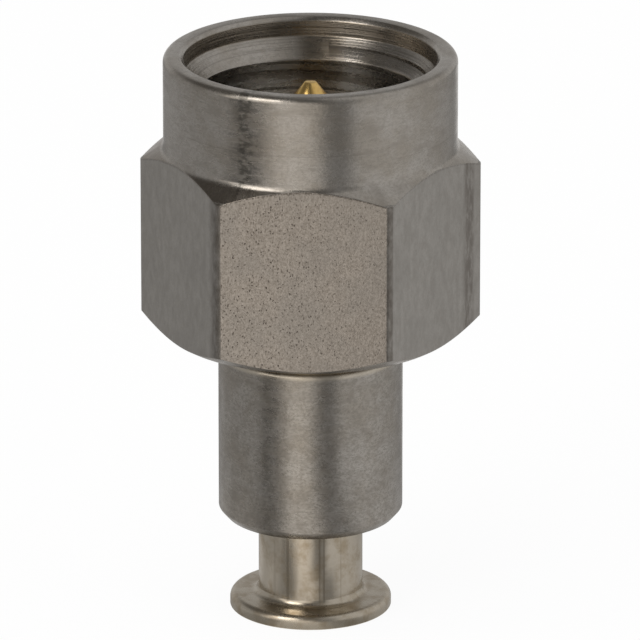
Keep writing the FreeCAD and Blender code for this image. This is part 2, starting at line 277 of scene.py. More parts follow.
nut_shape = turned_shape([
    (NUT_LIP_RADIUS + NUT_LIP_CHAMFER, NUT_END_Z),
    (NUT_END_FACE_RADIUS, NUT_END_Z),
    (BLANK_RADIUS, NUT_END_Z + end_rise),
    (BLANK_RADIUS, COLLAR_Z - top_drop),
    (COLLAR_RADIUS, COLLAR_Z, COLLAR_FILLET),
    (COLLAR_RADIUS, NUT_MOUTH_Z, RIM_ROUNDING),
    (MOUTH_BORE_RADIUS + MOUTH_CHAMFER, NUT_MOUTH_Z),
    (MOUTH_BORE_RADIUS, NUT_MOUTH_Z - MOUTH_CHAMFER),
    (MOUTH_BORE_RADIUS, mouth_bore_z),
    (THREAD_MINOR_RADIUS, thread_top_z),
    (THREAD_MINOR_RADIUS, RING_TOP_Z),
    (NUT_GROOVE_RADIUS, RING_TOP_Z),
    (NUT_GROOVE_RADIUS, NUT_GROOVE_Z),
    (NUT_LIP_RADIUS, NUT_GROOVE_Z),
    (NUT_LIP_RADIUS, NUT_END_Z + NUT_LIP_CHAMFER),
])
print(f"nut's blank: {len(nut_shape.faces)} faces")

# %% [markdown]
# Six planes cut the flats, each at the same distance from the axis. Bisect leaves an open cut,
# and its edge loop is filled with one face: the flat. A Boolean with a hexagon would do it too,
# but bisect is exact, quick, and keeps the cones' faces as they were.

# %% Mill the six flats
ON_PLANE = 1e-9


def facing(flat):
    """Way out from one of the flats."""
    angle = math.radians(FLAT_STEP / 2 + FLAT_STEP * flat)
    return math.cos(angle), math.sin(angle), 0


def closed(shape):
    """Whether each edge has two faces."""
    return all(edge.is_manifold for edge in shape.edges)


for flat in range(FLATS):
    outward = Vector(facing(flat))
    cut = bmesh.ops.bisect_plane(nut_shape, geom=everything(nut_shape), dist=ON_PLANE,
                                 plane_co=outward * NUT_FLAT_RADIUS * MM, plane_no=outward,
                                 clear_outer=True)
    rim = [part for part in cut["geom_cut"] if isinstance(part, bmesh.types.BMEdge)]
    bmesh.ops.contextual_create(nut_shape, geom=rim)
print(f"nut with flats: {len(nut_shape.faces)} faces, closed: {closed(nut_shape)}")

# %% [markdown]
# Drawn bar has rounded corners, and the frame says how far they fall short of a sharp hexagon:
# that gives the rounding. The curved edges of the flats get a hair-thin bevel, which is what
# catches the light on a real nut.

# %% Soften the bar's corners and the edges of the flats
CORNER_REACH_LOST = BAR_CORNER_RADIUS - NUT_CORNER_RADIUS
CORNER_ROUNDING = CORNER_REACH_LOST / (1 / math.cos(HALF_SIDE) - 1)
CORNER_SEGMENTS = 5
ARC_EDGE_BREAK = 0.018
FLAT_AREA = 5 * MM * MM
UPRIGHT = 0.1


def is_flat(area, normal):
    """Whether a face is one of the hexagon's six large ones."""
    return area > FLAT_AREA and abs(normal.z) < UPRIGHT


def flat_sides():
    """The hexagon's six large faces."""
    return [face for face in nut_shape.faces if is_flat(face.calc_area(), face.normal)]


def soften(edges, offset, segments):
    """Bevels edges of the nut; the offset is in millimetres."""
    bmesh.ops.bevel(nut_shape, geom=edges, offset=offset * MM, offset_type="OFFSET",
                    segments=segments, profile=0.5, affect="EDGES", material=-1)


sides = set(flat_sides())
corner_edges = [edge for edge in nut_shape.edges
                if len(edge.link_faces) == 2 and all(face in sides for face in edge.link_faces)]
soften(corner_edges, CORNER_ROUNDING * math.tan(HALF_SIDE), CORNER_SEGMENTS)
arc_edges = {edge for side in flat_sides() for edge in side.edges
             if abs(edge.verts[0].co.z - edge.verts[1].co.z) < MM}
soften(list(arc_edges), ARC_EDGE_BREAK, BREAK_SEGMENTS)
print(f"{len(corner_edges)} corners rounded {CORNER_ROUNDING:.2f} mm, {len(arc_edges)} edges broken,"
      f" closed: {closed(nut_shape)}")

# %% [markdown]
# The thread is a 60 degree groove that climbs one pitch a turn. Spin can climb too: with a
# small rise on every step it sweeps the groove's section up a helix, and gives a bar in the
# shape of all that the thread takes away.

# %% Sweep the thread's groove
INCH = 25.4
TURNS_PER_INCH = 36
PITCH = INCH / TURNS_PER_INCH
THREAD_MAJOR_RADIUS = 3.175
THREAD_STEPS = 96
CUTTER_INNER_RADIUS = 2.77
CREST_HALF_WIDTH = 0.075
GROOVE_HALF_ANGLE = math.radians(30)
CUTTER_DEPTH = THREAD_MAJOR_RADIUS - CUTTER_INNER_RADIUS
THREAD_ROOT_HALF_WIDTH = CREST_HALF_WIDTH + CUTTER_DEPTH * math.tan(GROOVE_HALF_ANGLE)
THREAD_START_Z = 9.62
THREAD_TURNS = 7.5
START_ANGLE = math.radians(273)


def thread_cutter():
    """Closed helical bar with the groove's section."""
    bar = bmesh.new()
    section = [
        (CUTTER_INNER_RADIUS, -THREAD_ROOT_HALF_WIDTH),
        (THREAD_MAJOR_RADIUS, -CREST_HALF_WIDTH),
        (THREAD_MAJOR_RADIUS, CREST_HALF_WIDTH),
        (CUTTER_INNER_RADIUS, THREAD_ROOT_HALF_WIDTH),
    ]
    corners = [bar.verts.new((radius * MM, 0, (THREAD_START_Z + height) * MM))
               for radius, height in section]
    bar.faces.new(corners)
    bmesh.ops.rotate(bar, verts=bar.verts[:], cent=(0, 0, 0), matrix=Matrix.Rotation(START_ANGLE, 3, "Z"))
    bmesh.ops.spin(bar, geom=everything(bar), cent=(0, 0, 0), axis=(0, 0, 1),
                   dvec=(0, 0, PITCH / THREAD_STEPS * MM), angle=math.tau * THREAD_TURNS,
                   steps=round(THREAD_TURNS * THREAD_STEPS))
    bmesh.ops.recalc_face_normals(bar, faces=bar.faces[:])
    return into_scene("thread_cutter", bar)


# %% [markdown]
# The swept bar is taken out of the nut with a Boolean, which is applied, so the mesh itself
# holds the thread. The turned faces are smooth, and the six milled ones stay flat.

# %% Cut the thread
def cut_away(piece, cutter):
    """Takes the cutter's volume out of the piece for good, and removes the cutter."""
    boolean = piece.modifiers.new("cut", "BOOLEAN")
    boolean.operation = "DIFFERENCE"
    boolean.solver = "EXACT"
    boolean.object = cutter
    bpy.context.view_layer.update()
    result = bpy.data.meshes.new_from_object(piece.evaluated_get(bpy.context.evaluated_depsgraph_get()))
    piece.modifiers.clear()
    old = piece.data
    piece.data = result
    result.name = old.name
    bpy.data.meshes.remove(old)
    bpy.data.objects.remove(cutter)
    smooth(piece.data)


nut = finished_piece("nut_milled", nut_shape, "coupling_nut")
cut_away(nut, thread_cutter())
for side in nut.data.polygons:
    if is_flat(side.area, side.normal):
        side.use_smooth = False
print(f"nut with thread: {len(nut.data.polygons)} faces")

# %% [markdown]
# The centre contact is turned from brass and gold plated: a blunt cone, the pin, the thick
# middle inside its bead, a holding flange, and a drilled tail for the wire.

# %% Turn the centre contact
PIN_RADIUS = 0.46
PIN_TIP_RADIUS = 0.155
PIN_CONE_Z = 14.42
CONTACT_RADIUS = 0.635
CONTACT_SHOULDER_Z = 12.47
CONTACT_FLANGE_TOP_Z = 8.50
TAIL_BORE_RADIUS = 0.17
TAIL_BORE_DEPTH = 1.40
TAIL_BORE_CHAMFER = 0.12

contact = finished_piece("contact_turned", turned_shape([
    (0, TAIL_Z + TAIL_BORE_DEPTH),
    (TAIL_BORE_RADIUS, TAIL_Z + TAIL_BORE_DEPTH),
    (TAIL_BORE_RADIUS, TAIL_Z + TAIL_BORE_CHAMFER),
    (TAIL_BORE_RADIUS + TAIL_BORE_CHAMFER, TAIL_Z),
    (CONTACT_RADIUS, TAIL_Z),
    (CONTACT_RADIUS, CONTACT_FLANGE_Z),
    (CONTACT_FLANGE_RADIUS, CONTACT_FLANGE_Z),
    (CONTACT_FLANGE_RADIUS, CONTACT_FLANGE_TOP_Z),
    (CONTACT_RADIUS, CONTACT_FLANGE_TOP_Z),
    (CONTACT_RADIUS, CONTACT_SHOULDER_Z),
    (PIN_RADIUS, CONTACT_SHOULDER_Z),
    (PIN_RADIUS, PIN_CONE_Z),
    (PIN_TIP_RADIUS, PIN_TIP_Z),
    (0, PIN_TIP_Z),
]), "center_contact")

# %% [markdown]
# Two white beads hold the contact on the axis, and a rubber ring lies on the body's shoulder.
# They are plain turned or moulded rings with softly broken edges.

# %% Turn the beads and the gasket
SEAT_GAP = 0.01
REAR_BEAD_RADIUS = WAIST_BORE_RADIUS - SEAT_GAP
GASKET_CHAMFER = 0.08

front_bead = finished_piece("front_bead", turned_shape([
    (CONTACT_FLANGE_RADIUS + SEAT_GAP, CONTACT_FLANGE_Z),
    (REAR_BEAD_RADIUS, CONTACT_FLANGE_Z),
    (REAR_BEAD_RADIUS, WAIST_Z),
    (FRONT_BEAD_RADIUS, WAIST_Z),
    (FRONT_BEAD_RADIUS, FRONT_BEAD_TOP_Z),
    (CONTACT_RADIUS + SEAT_GAP, FRONT_BEAD_TOP_Z),
    (CONTACT_RADIUS + SEAT_GAP, CONTACT_FLANGE_TOP_Z),
    (CONTACT_FLANGE_RADIUS + SEAT_GAP, CONTACT_FLANGE_TOP_Z),
]), "front_insulator")

rear_bead = finished_piece("rear_bead", turned_shape([
    (CONTACT_RADIUS + SEAT_GAP, STEM_HEAD_Z),
    (REAR_BEAD_RADIUS, STEM_HEAD_Z),
    (REAR_BEAD_RADIUS, CONTACT_FLANGE_Z),
    (CONTACT_RADIUS + SEAT_GAP, CONTACT_FLANGE_Z),
]), "rear_insulator")

gasket = finished_piece("gasket_moulded", turned_shape([
    (ROOT_COLLAR_RADIUS + SEAT_GAP, GASKET_Z),
    (GASKET_RADIUS, GASKET_Z),
    (GASKET_RADIUS, GASKET_TOP_Z - GASKET_CHAMFER),
    (GASKET_RADIUS - GASKET_CHAMFER, GASKET_TOP_Z),
    (ROOT_COLLAR_RADIUS + SEAT_GAP, GASKET_TOP_Z),
]), "interface_gasket")

# %% [markdown]
# The retaining ring is flat spring wire bent almost closed. Its section sweeps from one end of
# the gap to the other, so this spin stops short of a full turn, and both ends keep a face.

# %% Bend the retaining ring
RING_INNER_RADIUS = 2.32
RING_GAP_WIDTH = 1.60
RING_EDGE_BREAK = 0.04


def bent_ring():
    """Flat ring with one gap at its back, toward +Y."""
    ring = bmesh.new()
    section = [
        (RING_INNER_RADIUS, RING_Z),
        (RING_OUTER_RADIUS, RING_Z),
        (RING_OUTER_RADIUS, RING_TOP_Z),
        (RING_INNER_RADIUS, RING_TOP_Z),
    ]
    outline_loop(ring, section, RING_EDGE_BREAK)
    bmesh.ops.contextual_create(ring, geom=ring.edges[:])
    half_gap = math.asin(RING_GAP_WIDTH / 2 / ((RING_INNER_RADIUS + RING_OUTER_RADIUS) / 2))
    bmesh.ops.rotate(ring, verts=ring.verts[:], cent=(0, 0, 0),
                     matrix=Matrix.Rotation(math.pi / 2 + half_gap, 3, "Z"))
    bmesh.ops.spin(ring, geom=everything(ring), cent=(0, 0, 0), axis=(0, 0, 1),
                   angle=math.tau - 2 * half_gap, steps=SPIN_STEPS)
    bmesh.ops.recalc_face_normals(ring, faces=ring.faces[:])
    return ring


ring = finished_piece("ring_bent", bent_ring(), "retaining_ring")

# %% [markdown]
# The crimp stem takes the cable: a thin tube, with a head that is pressed into the body.

# %% Turn the crimp stem
STEM_BORE_RADIUS = 0.475
STEM_RADIUS = 0.70
STEM_TIP_CHAMFER = 0.10
STEM_HEAD_CHAMFER = 0.15

stem = finished_piece("stem_knurled", turned_shape([
    (STEM_BORE_RADIUS, STEM_TIP_Z),
    (STEM_RADIUS - STEM_TIP_CHAMFER, STEM_TIP_Z),
    (STEM_RADIUS, STEM_TIP_Z + STEM_TIP_CHAMFER),
    (STEM_RADIUS, REAR_FACE_Z),
    (STEM_HEAD_RADIUS, REAR_FACE_Z),
    (STEM_HEAD_RADIUS, STEM_HEAD_Z - STEM_HEAD_CHAMFER),
    (STEM_HEAD_RADIUS - STEM_HEAD_CHAMFER, STEM_HEAD_Z),
    (STEM_BORE_RADIUS, STEM_HEAD_Z),
]), "crimp_stem")

# %% [markdown]
# A straight knurl on the tube bites into the braid. One V groove is modelled as a three-sided
# bar, a spin with duplicates sets the others around the tube, and one Boolean cuts them all.

# %% Knurl the stem
KNURL_TEETH = 24
KNURL_DEPTH = 0.07
KNURL_LOW_Z = 0.84
KNURL_HIGH_Z = 2.34


def knurl_cutter():
    """All V grooves of the knurl, as one mesh of separate bars."""
    bars = bmesh.new()
    half_pitch = math.pi / KNURL_TEETH
    crest = (STEM_RADIUS / math.cos(half_pitch) + KNURL_DEPTH) * MM
    half_width = STEM_RADIUS * math.tan(half_pitch) * MM
    low = KNURL_LOW_Z * MM
    corners = [
        bars.verts.new(((STEM_RADIUS - KNURL_DEPTH) * MM, 0, low)),
        bars.verts.new((crest, half_width, low)),
        bars.verts.new((crest, -half_width, low)),
    ]
    end = bars.faces.new(corners)
    pushed = bmesh.ops.extrude_face_region(bars, geom=[end])
    top = [part for part in pushed["geom"] if isinstance(part, bmesh.types.BMVert)]
    bmesh.ops.translate(bars, verts=top, vec=(0, 0, (KNURL_HIGH_Z - KNURL_LOW_Z) * MM))
    bmesh.ops.spin(bars, geom=everything(bars), cent=(0, 0, 0), axis=(0, 0, 1),
                   angle=math.tau * (KNURL_TEETH - 1) / KNURL_TEETH,
                   steps=KNURL_TEETH - 1, use_duplicate=True)
    bmesh.ops.recalc_face_normals(bars, faces=bars.faces[:])
    return into_scene("knurl_cutter", bars)


cut_away(stem, knurl_cutter())
print(f"stem with knurl: {len(stem.data.polygons)} faces")

# %% [markdown]
# Now the finishes. A node tree is easier to read when adding a node, setting it and wiring it
# are one line, so a small helper does that. A value that is an output of another node is
# linked, and any other value is set on the socket.

# %% Add, set and wire a node
def wire(tree, node, inputs):
    """Links sockets to outputs of other nodes, and sets plain values."""
    for socket, value in inputs.items():
        if isinstance(value, bpy.types.NodeSocket):
            tree.links.new(value, node.inputs[socket])
        else:
            node.inputs[socket].default_value = value


def put(tree, kind, inputs=None, **settings):
    """Adds a node; settings are its options, inputs its socket values or links."""
    node = tree.nodes.new(kind)
    for option, value in settings.items():
        setattr(node, option, value)
    wire(tree, node, inputs or {})
    return node


def new_finish(name):
    """An empty material with its shader: returns material, tree and shader."""
    finish = bpy.data.materials.new(name)
    finish.use_nodes = True
    tree = finish.node_tree
    return finish, tree, tree.nodes["Principled BSDF"]


# %% [markdown]
# Patterns are sums: noises, distances and directions that are added, multiplied and stretched.
# Each of these small functions adds one node and hands back its result, so a formula reads as
# a formula. Remap turns any value into a share between 0 and 1, with soft ends.

# %% Sums in a node tree
def maths(tree, operation, first, second=0.0, clamp=False):
    """Result of a Math node."""
    node = put(tree, "ShaderNodeMath", {0: first, 1: second}, operation=operation, use_clamp=clamp)
    return node.outputs[0]


def product(tree, first, *others):
    """Values multiplied with each other."""
    for other in others:
        first = maths(tree, "MULTIPLY", first, other)
    return first


def vectors(tree, operation, first, second=(0, 0, 0)):
    """Result of a Vector Math node."""
    node = put(tree, "ShaderNodeVectorMath", {0: first, 1: second}, operation=operation)
    return node.outputs["Value" if operation in ("LENGTH", "DOT_PRODUCT") else "Vector"]


def scaled(tree, vector, factor):
    """Vector made longer or shorter."""
    return put(tree, "ShaderNodeVectorMath", {0: vector, "Scale": factor}, operation="SCALE").outputs[0]


def axes(tree, vector):
    """X, Y and Z of a vector."""
    return put(tree, "ShaderNodeSeparateXYZ", {0: vector}).outputs


def remap(tree, value, low, high, to_low=0.0, to_high=1.0):
    """Value moved from one range to another, and kept inside it."""
    inputs = {"Value": value, "From Min": low, "From Max": high, "To Min": to_low, "To Max": to_high}
    return put(tree, "ShaderNodeMapRange", inputs, interpolation_type="SMOOTHSTEP").outputs[0]


def blend(tree, share, first, second):
    """Two colours mixed; share is the part of the second."""
    return put(tree, "ShaderNodeMix", {0: share, 6: first, 7: second}, data_type="RGBA").outputs[2]


def blend_value(tree, share, first, second):
    """Two plain values mixed."""
    return put(tree, "ShaderNodeMix", {0: share, 2: first, 3: second}, data_type="FLOAT").outputs[0]


# %% [markdown]
# Turning leaves fine grooves that run around the piece. A noise that changes quickly along the
# outline and slowly around the axis gives them: its vector is the direction from the axis,
# which is the same all along a line on the cylinder, plus the height and the radius. Marks that
# don't come from turning, such as stains and grain, use plain noise on the place itself.

# %% Noise along the lathe's grooves, and noise in spots
RADIUS_SHARE = 0.8


def millimetres(tree):
    """Place on the object in millimetres."""
    return scaled(tree, put(tree, "ShaderNodeTexCoord").outputs["Object"], 1 / MM)


def from_axis(tree, place):
    """Distance from the axis, and the direction out from it."""
    level = vectors(tree, "MULTIPLY", place, (1, 1, 0))
    return vectors(tree, "LENGTH", level), vectors(tree, "NORMALIZE", level)


def noise(tree, vector, scale, detail, roughness):
    """Noise between 0 and 1."""
    inputs = {"Vector": vector, "Scale": scale, "Detail": detail, "Roughness": roughness}
    return put(tree, "ShaderNodeTexNoise", inputs).outputs["Fac"]


def lathe_noise(tree, place, lines, around, detail, roughness):
    """Noise with this many changes a millimetre down the outline, and around the axis."""
    radius, outward = from_axis(tree, place)
    run = maths(tree, "ADD", product(tree, radius, RADIUS_SHARE), axes(tree, place)["Z"])
    down = put(tree, "ShaderNodeCombineXYZ", {"Z": product(tree, run, lines)}).outputs[0]
    vector = vectors(tree, "ADD", scaled(tree, outward, around), down)
    return noise(tree, vector, 1.0, detail, roughness)


def spot_noise(tree, place, scale, detail, roughness, stretch=(1, 1, 1)):
    """Noise in spots, narrower along an axis that is stretched."""
    return noise(tree, vectors(tree, "MULTIPLY", place, stretch), scale, detail, roughness)


# %% [markdown]
# The same grooves make the gloss wider along the axis than around it, which is anisotropy. The
# tangent runs round the axis, and a quarter turn of it sets the wide direction across the
# grooves. All finishes end alike, with a colour, a roughness and a bump.

# %% Gloss and relief of a surface
ACROSS_GROOVES = 0.25


def radial_gloss(tree, shader, brushed):
    """Gloss of metal that is wider across the lathe's grooves than along them."""
    tangent = put(tree, "ShaderNodeTangent", direction_type="RADIAL", axis="Z").outputs[0]
    wire(tree, shader, {"Metallic": 1.0, "Anisotropic": brushed,
                        "Anisotropic Rotation": ACROSS_GROOVES, "Tangent": tangent})


def dress(tree, shader, colour, rough, height, strength, depth):
    """Gives the shader its colour, its roughness and a bump of this depth in metres."""
    bump = put(tree, "ShaderNodeBump", {"Strength": strength, "Distance": depth, "Height": height})
    wire(tree, shader, {"Base Color": colour, "Roughness": rough, "Normal": bump.outputs[0]})


# %% [markdown]
# Used metal isn't even. On this plug a column of short dark dashes is painted dark reflection:
# the dark band that the walls mirror, painted into their colour at one azimuth. It could be an
# image, but a share between 0 and 1 that is worked out from the place on the piece stays sharp
# at any size: it is 1 where the mark is, and mixes its colour in. Here the share is near 1 along
# one line down the wall, and a noise breaks it into dashes.

# %% Painted dark reflection along a line down the wall
# Painted dark reflection: dashes in a column down the walls, where a dark band is mirrored.
LINE_CORE = 0.4
REFLECTION_COLUMN_HALF_WIDTH = 3.6
REFLECTION_DASHES = (12.0, 20.0, 1.0, 0.5)
REFLECTION_DASHES_SHOW = (0.42, 0.54)


def direction(azimuth, elevation=0.0):
    """Way out from the part, from degrees; azimuth 0 is the front and 90 the right."""
    turn, climb = math.radians(azimuth), math.radians(elevation)
    return math.sin(turn) * math.cos(climb), -math.cos(turn) * math.cos(climb), math.sin(climb)


def down_the_wall(tree, place, azimuth, half_width):
    """1 on a line down the wall at this azimuth, and 0 beyond half_width degrees from it."""
    nearness = vectors(tree, "DOT_PRODUCT", from_axis(tree, place)[1], direction(azimuth))
    edge = math.cos(math.radians(half_width))
    core = math.cos(math.radians(half_width * LINE_CORE))
    return remap(tree, nearness, edge, core)


def dark_reflection_column(tree, place, azimuth, depth):
    """A column of short dark dashes: painted dark reflection down the wall at this azimuth."""
    dashes = remap(tree, lathe_noise(tree, place, *REFLECTION_DASHES), *REFLECTION_DASHES_SHOW, 0.0, depth)
    return product(tree, down_the_wall(tree, place, azimuth, REFLECTION_COLUMN_HALF_WIDTH), dashes)


# %% [markdown]
# The plain bore in the nut's mouth is darkened with painted brown shade, with a painted dark
# reflection down its back, and the left part of the cone above the flats carries a painted dark
# reflection too. The mouth was bored with a coarse feed, so its lines are wider than those
# outside. Radius and height say where each of them is.

# %% Painted shade and reflection, and coarse lines, in the nut's mouth and on its cone
# Painted shade darkens the plain bore; painted dark reflection lies down the mouth's back and on the
# cone's left.
MOUTH_SHADE = 0.65
MOUTH_SHADE_MARGIN = 0.01
MOUTH_DARK_REFLECTION = 0.7
MOUTH_DARK_REFLECTION_PLACE = (177, 14)
MOUTH_LINES = (22.0, 0.5, 2.0, 0.6)
MOUTH_LINES_MARGIN = 0.02
CONE_REFLECTION_OUT = (0.02, 0.12)
CONE_REFLECTION_LEFT = (0.3, -1.6, 0.0, 0.5)
CONE_REFLECTION_DROP = (0.75, 0.45)


def mouth_shade_and_reflection(tree, place):
    """Share of painted brown shade on the nut's plain bore, and of the painted dark reflection down the
    mouth's back.
    """
    inside = maths(tree, "LESS_THAN", from_axis(tree, place)[0], MOUTH_BORE_RADIUS + MOUTH_SHADE_MARGIN)
    bore_shade = product(tree, maths(tree, "GREATER_THAN", axes(tree, place)["Z"], mouth_bore_z), MOUTH_SHADE)
    back_reflection = product(tree, down_the_wall(tree, place, *MOUTH_DARK_REFLECTION_PLACE), MOUTH_DARK_REFLECTION)
    return product(tree, inside, maths(tree, "MAXIMUM", bore_shade, back_reflection))


def mouth_grooves(tree, place):
    """Coarse turning lines in the nut's mouth, and nothing elsewhere."""
    inside = maths(tree, "LESS_THAN", from_axis(tree, place)[0], MOUTH_BORE_RADIUS + MOUTH_LINES_MARGIN)
    high = maths(tree, "GREATER_THAN", axes(tree, place)["Z"], thread_top_z)
    return product(tree, inside, high, lathe_noise(tree, place, *MOUTH_LINES))


def cone_dark_reflection(tree, place):
    """Share of painted dark reflection on the left part of the cone above the flats."""
    parts = axes(tree, place)
    outside = remap(tree, from_axis(tree, place)[0], *(COLLAR_RADIUS + out for out in CONE_REFLECTION_OUT))
    high = remap(tree, parts["Z"], *(COLLAR_Z - drop for drop in CONE_REFLECTION_DROP))
    return product(tree, outside, remap(tree, parts["X"], *CONE_REFLECTION_LEFT), high)


# %% [markdown]
# The flats keep the skin of the drawn bar, so the finish has to know where they are. A point is
# on a flat when it lies as far out along that flat's direction as the flat itself does. Front
# and back are told from the other four, because they are pitted and carry a painted warm
# reflection, and a narrow band beside each corner is where the skin is rubbed dark.

# %% Where the flats are
FLAT_MARGIN = 0.004
CORNER_ZONE = 4.47
RUBBED_BAND = (4.17, 4.26, 4.35, 4.42)


def flat_faces(tree, place):
    """1 on the bar's faces and corners, 1 on the front and back flat, and 1 beside a corner."""
    across = [maths(tree, "ABSOLUTE", vectors(tree, "DOT_PRODUCT", place, facing(flat)))
              for flat in range(FLATS // 2)]
    widest = maths(tree, "MAXIMUM", maths(tree, "MAXIMUM", across[0], across[1]), across[2])
    limit = NUT_FLAT_RADIUS - FLAT_MARGIN
    radius = from_axis(tree, place)[0]
    on_flat = maths(tree, "MAXIMUM", maths(tree, "GREATER_THAN", widest, limit),
                    maths(tree, "GREATER_THAN", radius, CORNER_ZONE))
    start, full, fade, end = RUBBED_BAND
    band = product(tree, remap(tree, radius, start, full), remap(tree, radius, end, fade))
    return on_flat, maths(tree, "GREATER_THAN", across[1], limit), band


print(f"flats {NUT_FLAT_RADIUS:.2f} mm from the axis, corners {NUT_CORNER_RADIUS:.2f} mm")

# %% [markdown]
# Front and back flat have many small dark pits, most of them toward the left. A Voronoi pattern
# gives each pit its own cell, and the cell's colour leaves some cells empty. Round pits would
# look printed, so a noise pushes the pattern about before the cells are made, and a finer noise
# adds pits too small for a cell.

# %% Pits in the bar
PIT_SCALE = 16.0
PIT_STRETCH = (1, 1, 0.7)
PIT_EDGE = (0.42, 0.14)
PIT_CHANCE = (0.2, 0.95)
RAGGED_SCALE = 15.0
RAGGED_PUSH = 0.09
FINE_PITS = (30.0, 2.0, 0.6, (1, 1, 0.8))
FINE_PITS_SHOW = (0.58, 0.72, 0.0, 0.6)
PITS_LEFTWARD = (2.2, -1.2, 0.55, 1.0)
PITS_ON_SIDES = 0.12


def bar_pits(tree, place, on_front):
    """Share of the small dark pits: many on the front flat's left, few on the side flats."""
    ragged = put(tree, "ShaderNodeTexNoise", {"Vector": place, "Scale": RAGGED_SCALE}).outputs["Color"]
    spot = vectors(tree, "MULTIPLY", place, PIT_STRETCH)
    spot = vectors(tree, "ADD", spot, scaled(tree, ragged, RAGGED_PUSH))
    cells = put(tree, "ShaderNodeTexVoronoi", {"Vector": spot, "Scale": PIT_SCALE}).outputs
    chance = put(tree, "ShaderNodeSeparateColor", {0: cells["Color"]}).outputs[0]
    pit = product(tree, remap(tree, cells["Distance"], *PIT_EDGE), remap(tree, chance, *PIT_CHANCE))
    fine = remap(tree, spot_noise(tree, place, *FINE_PITS), *FINE_PITS_SHOW)
    leftward = remap(tree, axes(tree, place)["X"], *PITS_LEFTWARD)
    many = blend_value(tree, on_front, PITS_ON_SIDES, leftward)
    return product(tree, maths(tree, "MAXIMUM", pit, fine), many)


# %% [markdown]
# The side flats darken beside their corners with the front flat. Beside the front flat's left
# corner this is a soft band of painted dark reflection, which the rolled corner mirrors; at its
# right corner it is a thin dark line. Where a flat ends at the cone a thin dark burr line
# follows the curve, and the grain breaks it up.

# %% Darkening at the corners, and the burr along the curved edges
# Painted dark reflection: a soft band beside the left corners, and a thin dark line at the right.
CORNER_DARKENING_SHARE = 1.1
DARK_REFLECTION_BAND_LEFT = (4.35, 4.52)
DARK_LINE_RIGHT = (4.51, 4.54)
DARKENING_NEAR_FRONT = (3.4, 3.0)
BURR_EDGE = (0.055, 0.025)
BURR_BROKEN = (0.35, 0.6, 0.1, 0.75)
BURR_ON_SIDES = 0.45


def corner_darkening(tree, place, on_front):
    """Share of darkening on a side flat, close to its corner with the front or back flat: painted dark
    reflection at the left, a thin dark line at the right.
    """
    radius = from_axis(tree, place)[0]
    sideways = axes(tree, place)["X"]
    close = blend_value(tree, maths(tree, "GREATER_THAN", sideways),
                        remap(tree, radius, *DARK_REFLECTION_BAND_LEFT), remap(tree, radius, *DARK_LINE_RIGHT))
    near_front = remap(tree, maths(tree, "ABSOLUTE", sideways), *DARKENING_NEAR_FRONT)
    return product(tree, close, near_front, blend_value(tree, on_front, CORNER_DARKENING_SHARE, 0.0))


def burr_line(tree, place, grain, on_front):
    """Share of the thin dark line along the curved upper edge of a flat."""
    out = maths(tree, "SUBTRACT", from_axis(tree, place)[0], COLLAR_RADIUS)
    edge_z = maths(tree, "SUBTRACT", COLLAR_Z, product(tree, out, math.tan(HEX_TOP_CHAMFER)))
    below = maths(tree, "SUBTRACT", edge_z, axes(tree, place)["Z"])
    line = product(tree, remap(tree, below, *BURR_EDGE), remap(tree, grain, *BURR_BROKEN))
    return product(tree, line, blend_value(tree, on_front, BURR_ON_SIDES, 1.0))


# %% [markdown]
# The bar is grey on its side flats, and warmer on the front and back flat, where the warmth is
# a painted reflection of warm light from the front. Four noises give it its pattern: the grain,
# a mottle, the lines that drawing leaves, and a soft cloud. A range says at which value of its
# noise each starts to show, and at which it is full.

# %% Greys and patterns of the drawn bar
BAR_GREY = (0.46, 0.445, 0.42, 1)
BAR_GREY_DARK = (0.375, 0.36, 0.335, 1)
# Painted warm reflection: the base grey of the front and back flat.
BAR_WARM_LIT = (0.50, 0.457, 0.412, 1)
BAR_WARM_DARK = (0.32, 0.286, 0.25, 1)
BAR_CLOUD_DARK = (0.33, 0.315, 0.295, 1)
RUBBED_DARK = (0.20, 0.18, 0.16, 1)
PIT_DARK = (0.095, 0.08, 0.065, 1)
BURR_AND_CORNER_DARK = (0.10, 0.085, 0.07, 1)
BAR_GRAIN = (22.0, 4.0, 0.75, (1, 1, 0.7))
BAR_MOTTLE = (5.0, 4.0, 0.65, (1, 1, 0.5))
BAR_LINES = (1.0, 4.0, 0.7, (5, 5, 1.6))
BAR_CLOUD = (0.9, 3.0, 0.5)
SIDE_MOTTLE_SHOWS = (0.3, 0.7)
SIDE_GRAIN_SHOWS = (0.40, 0.66, 0.0, 0.3)
FRONT_GRAIN_SHOWS = (0.34, 0.66)
FRONT_MOTTLE_SHOWS = (0.45, 0.75, 0.0, 0.35)
CLOUD_SHOWS = (0.35, 0.7, 0.0, 0.3)
RUBBED_SIDE = (2.9, 3.7, 0.0, 0.85)
RUBBED_LINES = (0.30, 0.62)
print("grain of the bar:", BAR_GRAIN)

# %% [markdown]
# The skin itself is built in layers, from the largest mark to the smallest: a mottle, the grain
# and a soft cloud, then the rubbed corner, the darkening beside the corners (partly painted dark
# reflection), burr and pits. Pits go down and grain goes up in the height that feeds the bump.

